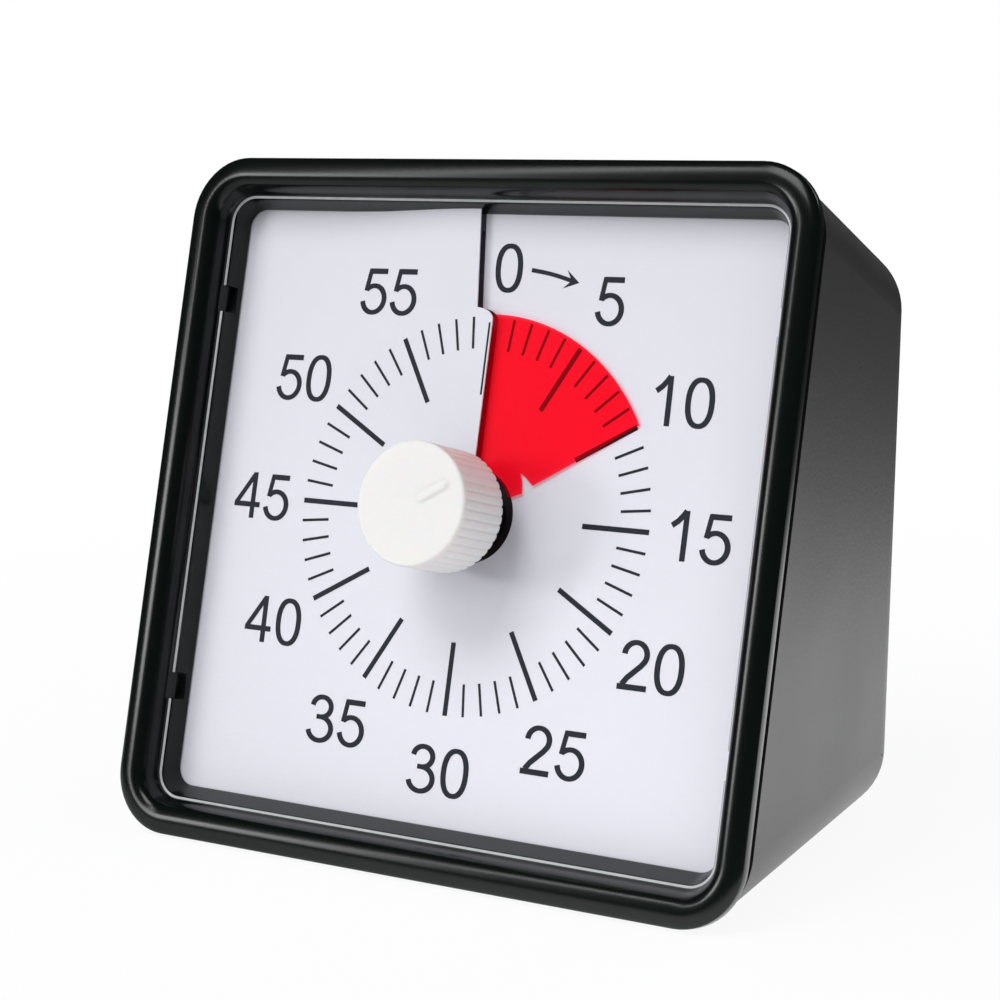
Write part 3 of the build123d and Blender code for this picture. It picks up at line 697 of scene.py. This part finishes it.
class TIMER_OT_bezel(bpy.types.Operator):
    """Front frame with its rounded face, double lip, drafted wall and release notches"""
    bl_idname = "timer.bezel"
    bl_label = "Bezel"

    def execute(self, context):
        bottom = BEZEL_STEPS[0][1]
        piece = rounded_outline("bezel", BEZEL_WIDTH, BEZEL_HEIGHT, CORNER_RADIUS, bottom,
                                BEZEL_MIDDLE)
        for (inset, level), (next_inset, next_level) in zip(BEZEL_STEPS, BEZEL_STEPS[1:]):
            bpy.ops.mesh.inset(thickness=next_inset - inset, depth=next_level - level,
                               use_even_offset=True)
        bpy.ops.mesh.delete(type="FACE")
        # The wall's foot stands further in along the lower edge, and a little at the upper one.
        for side, shift in FOOT_SHIFTS:
            select(piece, "VERT", lambda vertex: (vertex.co.z < FOOT_BELOW
                                                  and (vertex.co.y - BEZEL_MIDDLE) * side > 0))
            bpy.ops.transform.translate(value=(0, shift, 0))
        select(piece, "VERT", lambda vertex: abs(vertex.co.z - bottom) < 0.01)
        bpy.ops.mesh.select_mode(type="EDGE")
        for shrink, drop in SKIRT_STEPS:
            bpy.ops.mesh.extrude_edges_move(TRANSFORM_OT_translate={"value": (0, 0, -drop)})
            scale = 1 - 2 * shrink / BEZEL_WIDTH
            bpy.ops.transform.resize(value=(scale, scale, 1), center_override=(0, BEZEL_MIDDLE, 0))
        bpy.ops.mesh.select_all(action="DESELECT")
        bpy.ops.mesh.select_non_manifold(extend=False, use_wire=False, use_multi_face=False,
                                         use_non_contiguous=False, use_verts=False)
        bpy.ops.mesh.bridge_edge_loops()
        finish_edit()
        for side in (-1, 1):
            edge = side * (BEZEL_WIDTH / 2 - WALL_HEAD[0])
            inner, outer = sorted((edge - side * NOTCH_INWARD, edge + side * NOTCH_OUTWARD))
            for share in NOTCH_MIDDLES:
                middle = share * RING
                combine(piece, box("notch", (inner, middle - NOTCH_HALF, NOTCH_LEVELS[0]),
                                   (outer, middle + NOTCH_HALF, NOTCH_LEVELS[1])), "DIFFERENCE")
        apply_modifier(piece, "BEVEL", width=EDGE_BEVEL, segments=2, limit_method="ANGLE",
                       angle_limit=radians(28), harden_normals=False)
        # The lip's upward faces get the pale painted highlight.
        highlight_faces = [LIP_LEVELS[0] < face.center.z < LIP_LEVELS[1] and face.normal.z > 0.5
                  for face in piece.data.polygons]
        put_on_dial(piece)
        smooth(piece, 35)
        finish_piece(piece, "stand", "black_gloss", gloss_black(), "front_bezel")
        piece.data.materials.append(lip_edge())
        for face, gets_highlight in zip(piece.data.polygons, highlight_faces):
            face.material_index = int(gets_highlight)
        return {"FINISHED"}


class TIMER_OT_card(bpy.types.Operator):
    """Dial card with its slit, its climbing face and the edges that curl out beside the slit"""
    bl_idname = "timer.card"
    bl_label = "Dial card"

    def execute(self, context):
        piece = grid("dial_card_printed", CARD_FACES, CARD_FACES)
        piece.scale = (BEZEL_WIDTH - CARD_TRIM, BEZEL_HEIGHT - CARD_TRIM, 1)
        piece.location = (0, BEZEL_MIDDLE, 0)
        fix_place()
        apply_modifier(piece, "SOLIDIFY", thickness=CARD_THICKNESS, offset=-1)
        combine(piece, cylinder("hub_hole", HUB_HOLE * RING, -1, 1, vertices=96), "DIFFERENCE")
        blade = ribbon("slit_blade", slit_path(), SLIT_WIDTH, 2.0)
        blade.data.transform(Matrix.Translation((0, 0, -1)))
        combine(piece, blade, "DIFFERENCE")
        drape(piece)
        put_on_dial(piece)
        smooth(piece, 40)
        finish_piece(piece, "stand", "dial_print", card_stock(), "dial_card")
        return {"FINISHED"}


ZERO_STROKE = 0.4        # width of the zero mark, in widths of a long mark
ZERO_ASIDE = 0.3         # how far it stands to the left of the slit, mm
ZERO_DROP = 0.03         # how much nearer the hub it stands, in ring radii
MARK_FACES = 6           # along a mark, so that it can follow the card


def mark_bar(inner, stroke):
    """One radial bar of ink from an inner radius to the ring."""
    return ribbon("mark", [(0, inner + (RING - inner) * step / MARK_FACES)
                           for step in range(MARK_FACES + 1)], stroke)


class TIMER_OT_marks(bpy.types.Operator):
    """Printed minute marks: a long one every five minutes, short ones between and a fine zero"""
    bl_idname = "timer.marks"
    bl_label = "Minute marks"

    def execute(self, context):
        size = sizes()
        short_minutes = [minute for minute in range(60) if minute % 5]
        for name, minutes, inner, stroke in (
                ("five_minute_marks", range(5, 60, 5), size.long_inner, size.mark_width),
                ("minute_marks", short_minutes, size.short_inner, size.short_mark_width)):
            first = mark_bar(inner / MM, stroke / MM)
            bars = [copy_of(first, Matrix.Rotation(-mark_angle(minute), 4, "Z"))
                    for minute in minutes]
            bpy.data.objects.remove(first)
            print_on_card(bars, name)
        zero = mark_bar(size.long_inner / MM, ZERO_STROKE * size.mark_width / MM)
        zero.data.transform(Matrix.Translation((SLIT_SHUT * RING - ZERO_ASIDE,
                                                -ZERO_DROP * RING, 0)))
        print_on_card([zero], "zero_mark")
        return {"FINISHED"}


ZERO_PLACE = (0.044, 1.253)          # middle of the printed 0, in ring radii


class TIMER_OT_numbers(bpy.types.Operator):
    """Printed numbers, 0 to 55 in fives"""
    bl_idname = "timer.numbers"
    bl_label = "Numbers"

    def execute(self, context):
        height = sizes().number_height / MM
        radius = sizes().number_radius / MM
        shapes = {figure: digit(figure, height) for figure in DIGITS}
        printed = []
        for minute in range(0, 60, 5):
            angle = mark_angle(minute)
            place = (radius * sin(angle), radius * cos(angle))
            if minute == 0:
                place = (ZERO_PLACE[0] * RING, ZERO_PLACE[1] * RING)
            figures = [copy_of(shapes[figure],
                               Matrix.Translation((column * DIGIT_ADVANCE * height, 0, 0)))
                       for column, figure in enumerate(str(minute))]
            xs = [vertex.co.x for figure in figures for vertex in figure.data.vertices]
            ys = [vertex.co.y for figure in figures for vertex in figure.data.vertices]
            move = Matrix.Translation((place[0] - (min(xs) + max(xs)) / 2,
                                       place[1] - (min(ys) + max(ys)) / 2, 0))
            for figure in figures:
                figure.data.transform(move)
            printed += figures
        for shape in shapes.values():
            bpy.data.objects.remove(shape)
        print_on_card(printed, "dial_numbers")
        return {"FINISHED"}


# The arrow, in ring radii.
ARROW_TAIL = (0.176, 1.247)
ARROW_TIP = (0.453, 1.191)
ARROW_STROKE = 0.021
ARROW_BOW = 0.006        # how far the middle of its shaft bows upwards
ARROW_NECK = 0.045       # from its tip back to the notch between its barbs
ARROW_BARB = 0.083       # from its tip back to the ends of its barbs
ARROW_HALF = 0.046       # half the width over its barbs
ARROW_FACES = 8          # along its shaft


class TIMER_OT_arrow(bpy.types.Operator):
    """Printed arrow that shows which way the time runs"""
    bl_idname = "timer.arrow"
    bl_label = "Direction arrow"

    def execute(self, context):
        tail = Vector(ARROW_TAIL) * RING
        tip = Vector(ARROW_TIP) * RING
        along = (tip - tail).normalized()
        across = Vector((-along.y, along.x))
        neck = tip - ARROW_NECK * RING * along
        line = []
        for step in range(ARROW_FACES + 1):
            bow = across * ARROW_BOW * RING * sin(pi * step / ARROW_FACES)
            line.append(tuple(tail + (neck - tail) * step / ARROW_FACES + bow))
        shaft = ribbon("arrow_shaft", line, ARROW_STROKE * RING)
        back = tip - ARROW_BARB * RING * along
        half = ARROW_HALF * RING
        sweep = {-1: back + across * half, 0: tip, 1: back - across * half}
        head = grid("arrow_head", 2, 1)
        for vertex in head.data.vertices:
            column = round(vertex.co.x * 2)
            inner_corner = column == 0 and vertex.co.y <= 0
            spot = neck if inner_corner else sweep[column]
            vertex.co = (spot.x, spot.y, 0)
        thicken(INK)
        combine(shaft, head, "UNION")
        print_on_card([shaft], "direction_arrow")
        return {"FINISHED"}


# Radii along the film's leading edge, in ring radii, with how far the sheet runs past the ten
# minute line there, in degrees. The notch near the hub holds the sheet.
FILM_EDGE = [(0.235, 3.2), (0.27, 4.0), (0.3095, 4.8), (0.33, -4.6), (0.3475, -12.6),
             (0.362, -5.4), (0.378, 2.3), (0.45, 1.9), (0.55, 1.4), (0.65, 1.0), (0.75, 0.7),
             (0.85, 0.4), (0.95, 0.1), (FILM_RIM, 0.0)]
FILM_SHOWN = 60.0        # angle of film on view at rest, degrees
FILM_SPAN = 355.0        # angle of the whole sheet, degrees
FILM_COLUMNS = 178       # of faces round the sheet
FILM_ABOVE = 0.3         # from the card to the sheet, mm
FILM_THICKNESS = 0.12    # mm
FILM_LEAD = 0.1          # share of the sheet over which its leading edge takes shape


class TIMER_OT_film(bpy.types.Operator):
    """Red film disc, a thin helical sheet with a notched radial edge"""
    bl_idname = "timer.film"
    bl_label = "Film disc"

    def execute(self, context):
        rows = len(FILM_EDGE) - 1
        piece = grid("red_film_disc", FILM_COLUMNS, rows)
        for vertex in piece.data.vertices:
            share = vertex.co.x + 0.5
            reach, past = FILM_EDGE[round((vertex.co.y + 0.5) * rows)]
            near_edge = ease((share - (1 - FILM_LEAD)) / FILM_LEAD)
            degrees = FILM_SHOWN - FILM_SPAN + FILM_SPAN * share + past * near_edge
            angle = radians(degrees)
            level = PITCH * (degrees / 360 - 0.5) + FILM_ABOVE
            vertex.co = (reach * RING * sin(angle), reach * RING * cos(angle), level)
        apply_modifier(piece, "SOLIDIFY", thickness=FILM_THICKNESS, offset=0)
        edit()
        finish_edit()
        put_on_dial(piece)
        smooth(piece, 40)
        finish_piece(piece, "film", "red_film", film_material(), "film_disc")
        return {"FINISHED"}


# The knob, in mm.
KNOB_CHAMFER = 0.25      # at its foot
KNOB_RIM = 0.3           # radius of its rounded rim
RIM_STEPS = 6
SIDE_STEPS = (2.2, 2.2, 1.6)         # up its side from the chamfer
KNOB_RINGS = 28          # of faces across its top
RING_SHRINK = 0.985      # the rings' total reach, which leaves a last face to merge
FLUTE_FACES = 12         # round the knob for each flute
FLUTE_HALF = 0.14        # half a flute's width, in flutes
FLUTE_FADE = 0.5         # height over which a flute runs out below the rim
POINTER_HEIGHT = 0.24
POINTER_REACH = (1.35, 4.3)          # of its middle line, from the knob's centre
POINTER_HALF = 0.74      # half its width, and how much of that is its slope
POINTER_SLOPE = 0.46
POINTER_ANGLE = 60       # clockwise from the top of the dial, degrees


class TIMER_OT_knob(bpy.types.Operator):
    """Setting knob with grip flutes, a rounded rim and a raised pointer"""
    bl_idname = "timer.knob"
    bl_label = "Setting knob"

    def execute(self, context):
        size = sizes()
        radius = size.knob_radius / MM
        low = KNOB_Z[0]
        top = KNOB_Z[1] - POINTER_HEIGHT
        shoulder = top - KNOB_RIM
        deselect()
        bpy.ops.mesh.primitive_circle_add(vertices=size.flutes * FLUTE_FACES,
                                          radius=radius - KNOB_CHAMFER, fill_type="NGON",
                                          location=(0, 0, 0))
        piece = start("fluted_knob")
        piece.data.transform(Matrix.Translation((0, 0, low)))
        edit()
        bpy.ops.mesh.select_all(action="SELECT")
        steps = [(-KNOB_CHAMFER, KNOB_CHAMFER)] + [(0.0, rise) for rise in SIDE_STEPS]
        reached = low + sum(depth for _, depth in steps)
        steps += [(0.0, (shoulder - reached) / 2)] * 2
        for turn in range(RIM_STEPS):
            first, last = turn * pi / (2 * RIM_STEPS), (turn + 1) * pi / (2 * RIM_STEPS)
            steps.append((KNOB_RIM * (cos(first) - cos(last)), KNOB_RIM * (sin(last) - sin(first))))
        flat_ring = (radius - KNOB_RIM) / KNOB_RINGS * RING_SHRINK
        steps += [(flat_ring, 0)] * KNOB_RINGS
        for inset, depth in steps:
            bpy.ops.mesh.inset(thickness=inset, depth=depth, use_even_offset=True)
        bpy.ops.mesh.merge(type="CENTER")
        bpy.ops.object.mode_set(mode="OBJECT")
        for vertex in piece.data.vertices:
            reach = hypot(vertex.co.x, vertex.co.y)
            if reach > radius - 0.35 and vertex.co.z < shoulder + 0.01:
                angle = atan2(vertex.co.y, vertex.co.x)
                phase = (angle * size.flutes / (2 * pi) + 0.5) % 1.0 - 0.5
                groove = exp(-(phase / FLUTE_HALF) ** 2) * size.flute_depth / MM
                share = 1 - ease((vertex.co.z - (shoulder - FLUTE_FADE)) / FLUTE_FADE)
                vertex.co.xy *= (reach - groove * share) / reach
            if vertex.co.z > top - 0.01:
                vertex.co.z += POINTER_HEIGHT * pointer_share(vertex.co.xy)
        edit()
        finish_edit()
        put_on_dial(piece)
        smooth(piece, 60)
        finish_piece(piece, "knob", "knob_white", knob_plastic(), "setting_knob")
        return {"FINISHED"}


def pointer_share(place):
    """How much of the pointer's height stands at a place on the knob's top."""
    angle = radians(POINTER_ANGLE)
    direction = Vector((sin(angle), cos(angle)))
    along = place.x * direction.x + place.y * direction.y
    off = hypot(place.x - along * direction.x, place.y - along * direction.y)
    if along < POINTER_REACH[0]:
        off = hypot(off, POINTER_REACH[0] - along)
    if along > POINTER_REACH[1]:
        off = hypot(off, along - POINTER_REACH[1])
    return ease((POINTER_HALF - off) / POINTER_SLOPE)


class TIMER_OT_frame_finishes(bpy.types.Operator):
    """Finishes of the frame's own pieces: case, door, hub and the mechanism"""
    bl_idname = "timer.frame_finishes"
    bl_label = "Frame finishes"

    def execute(self, context):
        by_slot = {
            "black_satin": satin_black(),
            "hub_black": hub_plastic(),
            "backing_grey": finish("grey_backing_plastic", (0.2, 0.2, 0.21), (0.5, 0.6)),
            "movement_black": finish("movement_plastic", (0.04, 0.04, 0.042), (0.45, 0.55)),
            "gear_white": finish("gear_plastic", (0.78, 0.78, 0.73), (0.35, 0.42)),
            "spindle_steel": plain_metal("turned_steel", (0.58, 0.58, 0.6), (0.25, 0.35)),
            "screw_steel": plain_metal("plated_steel", (0.62, 0.62, 0.63), (0.2, 0.3)),
            "spring_brass": plain_metal("bright_brass", (0.75, 0.56, 0.25), (0.22, 0.3)),
            "contact_plate_metal": plain_metal("nickel_plate", (0.68, 0.67, 0.64), (0.2, 0.3)),
            "motor_can": plain_metal("drawn_can", (0.65, 0.65, 0.66), (0.3, 0.4)),
            "board_green": finish("solder_mask", (0.015, 0.14, 0.045), (0.25, 0.35)),
            "chip_black": finish("moulded_epoxy", (0.02, 0.02, 0.02), (0.4, 0.5)),
            "buzzer_black": finish("buzzer_shell", (0.02, 0.02, 0.022), (0.35, 0.45)),
            "slider_white": finish("slider_plastic", (0.75, 0.75, 0.72), (0.4, 0.5)),
            "battery_wrap": finish("battery_sleeve", (0.09, 0.09, 0.1), (0.25, 0.35),
                                   Metallic=0.6),
        }
        slots = {part["node"]: part["material_slot"] for part in frame["record"]["subparts"]}
        for node, shown in frame["nodes"].items():
            if shown.hide_render:
                continue
            shown.data.materials.clear()
            shown.data.materials.append(by_slot[slots[node]])
        return {"FINISHED"}


# ---------------------------------------------------------------- stage

def floor_material():
    """White floor: the camera sees it evenly white with a faint contact shadow, and the timer's
    gloss sees it bright near the timer and dim further off."""
    material = finish("pale_floor", (0.9, 0.9, 0.9), rough=(0.6, 0.7), grain_scale=300.0,
                      colour_change=0.01)
    tree = material.node_tree
    shader = tree.nodes["Principled BSDF"]
    place = tree.nodes.new("ShaderNodeTexCoord").outputs["Object"]

    def distance(centre):
        reach = tree.nodes.new("ShaderNodeVectorMath")
        reach.operation = "DISTANCE"
        reach.inputs[1].default_value = centre
        link(tree, place, reach.inputs[0])
        return reach.outputs["Value"]

    def falloff(reach, near, far, at_near, at_far):
        node = tree.nodes.new("ShaderNodeMapRange")
        node.interpolation_type = "SMOOTHSTEP"
        for key, value in (("From Min", near), ("From Max", far), ("To Min", at_near),
                           ("To Max", at_far)):
            node.inputs[key].default_value = value
        link(tree, reach, node.inputs["Value"])
        return node.outputs["Result"]

    around = distance((0.0, 0.0, 0.0))
    dim = tree.nodes.new("ShaderNodeVectorMath")
    dim.operation = "SCALE"
    dim.inputs[0].default_value = (0.9, 0.9, 0.9)
    link(tree, falloff(around, near=0.08, far=0.4, at_near=1.0, at_far=0.06), dim.inputs["Scale"])
    link(tree, dim.outputs[0], shader.inputs["Base Color"])
    glow = tree.nodes.new("ShaderNodeEmission")
    beside = distance((0.11, 0.05, 0.0))
    link(tree, falloff(beside, near=0.04, far=0.19, at_near=1.5, at_far=0.0),
         glow.inputs["Strength"])
    seen_in_gloss = tree.nodes.new("ShaderNodeAddShader")
    link(tree, shader.outputs[0], seen_in_gloss.inputs[0])
    link(tree, glow.outputs[0], seen_in_gloss.inputs[1])
    matt = tree.nodes.new("ShaderNodeBsdfDiffuse")
    matt.inputs["Color"].default_value = (0.95, 0.95, 0.95, 1)
    white = tree.nodes.new("ShaderNodeEmission")
    seen = tree.nodes.new("ShaderNodeMixShader")
    link(tree, falloff(around, near=0.05, far=0.25, at_near=0.92, at_far=1.0), seen.inputs[0])
    link(tree, matt.outputs[0], seen.inputs[1])
    link(tree, white.outputs[0], seen.inputs[2])
    path = tree.nodes.new("ShaderNodeLightPath")
    mix = tree.nodes.new("ShaderNodeMixShader")
    link(tree, path.outputs["Is Camera Ray"], mix.inputs[0])
    link(tree, seen_in_gloss.outputs[0], mix.inputs[1])
    link(tree, seen.outputs[0], mix.inputs[2])
    link(tree, mix.outputs[0], tree.nodes["Material Output"].inputs["Surface"])
    return material


FLOOR_SIZE = 8.0                     # metres
FLOOR_GAP = 0.0001                   # below the timer's feet, metres
SENSOR_WIDTH = 36.0                  # mm
AIM = (0.163, 0.0911)                # where the camera looks: across and up the dial, ring radii


class TIMER_OT_stage(bpy.types.Operator):
    """Pale floor, soft light and the camera"""
    bl_idname = "timer.stage"
    bl_label = "Stage"

    def execute(self, context):
        setup = context.scene.timer_stage
        deselect()
        bpy.ops.mesh.primitive_plane_add(size=FLOOR_SIZE, location=(0, 0, cad_low[2] - FLOOR_GAP))
        floor = start("floor")
        floor.data.materials.append(floor_material())
        context.scene.world = studio_world(setup)
        soft_box("key_light", (-0.12, -0.6, 0.85), width=0.45, power=setup.key_power)
        soft_box("fill_light", (-0.7, -0.75, 0.25), width=0.2, power=setup.fill_power)
        soft_box("strip_light", (-0.52, -0.72, 0.5), width=0.06, height=0.8,
                 power=setup.strip_power)
        soft_box("back_light", (0.35, 0.8, 0.55), width=0.5, power=setup.back_power)
        aim = DIAL @ Vector((AIM[0] * RING * MM, AIM[1] * RING * MM, 0))
        azimuth, elevation = setup.camera_azimuth, setup.camera_elevation
        back = Vector((sin(azimuth) * cos(elevation), -cos(azimuth) * cos(elevation),
                       sin(elevation)))
        camera_data = bpy.data.cameras.new("camera")
        camera_data.lens = setup.lens
        camera_data.sensor_width = SENSOR_WIDTH
        camera_data.clip_start = 0.01
        camera = bpy.data.objects.new("camera", camera_data)
        context.scene.collection.objects.link(camera)
        turn = (back.to_track_quat("Z", "Y").to_matrix().to_4x4()
                @ Matrix.Rotation(setup.camera_roll, 4, "Z"))
        camera.matrix_world = Matrix.Translation(aim + back * setup.camera_distance) @ turn
        context.scene.camera = camera
        context.scene.view_settings.view_transform = "Standard"
        return {"FINISHED"}


def studio_world(setup):
    """A white backdrop for the camera, an even light for matt surfaces and a dim room in gloss."""
    world = bpy.data.worlds.new("studio")
    world.use_nodes = True
    tree = world.node_tree
    room = tree.nodes["Background"]
    room.inputs["Color"].default_value = (0.94, 0.95, 1.0, 1)
    backdrop = tree.nodes.new("ShaderNodeBackground")
    backdrop.inputs["Color"].default_value = (1, 1, 1, 1)
    path = tree.nodes.new("ShaderNodeLightPath")
    even = math_node(tree, "MULTIPLY", path.outputs["Is Diffuse Ray"],
                     setup.room_light - setup.gloss_light)
    link(tree, math_node(tree, "ADD", even, setup.gloss_light), room.inputs["Strength"])
    mix = tree.nodes.new("ShaderNodeMixShader")
    link(tree, path.outputs["Is Camera Ray"], mix.inputs[0])
    link(tree, room.outputs[0], mix.inputs[1])
    link(tree, backdrop.outputs[0], mix.inputs[2])
    link(tree, mix.outputs[0], tree.nodes["World Output"].inputs["Surface"])
    return world


def soft_box(name, place, width, power, height=None):
    """A square or upright rectangular area light that faces the timer."""
    light = bpy.data.lights.new(name, "AREA")
    light.size = width
    if height:
        light.shape = "RECTANGLE"
        light.size_y = height
    light.energy = power
    lamp = bpy.data.objects.new(name, light)
    bpy.context.scene.collection.objects.link(lamp)
    lamp.location = place
    lamp.rotation_euler = (DIAL.translation - Vector(place)).to_track_quat("-Z", "Y").to_euler()


class TIMER_PT_panel(bpy.types.Panel):
    """Lists the timer's pieces in the order in which they are made"""
    bl_idname = "TIMER_PT_panel"
    bl_label = "Countdown timer"
    bl_space_type = "VIEW_3D"
    bl_region_type = "UI"
    bl_category = "Timer"

    def draw(self, context):
        for operator in PIECES:
            self.layout.operator(operator.bl_idname)
        scene = context.scene
        for group in (scene.timer_sizes, scene.timer_colours, scene.timer_stage):
            column = self.layout.column()
            for key in group.__annotations__:
                column.prop(group, key)


PIECES = (TIMER_OT_bezel, TIMER_OT_card, TIMER_OT_marks, TIMER_OT_numbers, TIMER_OT_arrow,
          TIMER_OT_film, TIMER_OT_knob, TIMER_OT_frame_finishes, TIMER_OT_stage)
CLASSES = (TimerColours, TimerSizes, TimerStage, *PIECES, TIMER_PT_panel)


def register():
    for item in CLASSES:
        bpy.utils.register_class(item)
    bpy.types.Scene.timer_colours = PointerProperty(type=TimerColours)
    bpy.types.Scene.timer_sizes = PointerProperty(type=TimerSizes)
    bpy.types.Scene.timer_stage = PointerProperty(type=TimerStage)


def unregister():
    del bpy.types.Scene.timer_stage
    del bpy.types.Scene.timer_sizes
    del bpy.types.Scene.timer_colours
    for item in reversed(CLASSES):
        bpy.utils.unregister_class(item)


def main():
    register()
    bpy.ops.timer.bezel()
    bpy.ops.timer.card()
    bpy.ops.timer.marks()
    bpy.ops.timer.numbers()
    bpy.ops.timer.arrow()
    bpy.ops.timer.film()
    bpy.ops.timer.knob()
    bpy.ops.timer.frame_finishes()
    bpy.ops.timer.stage()


if __name__ == "__main__":
    main()
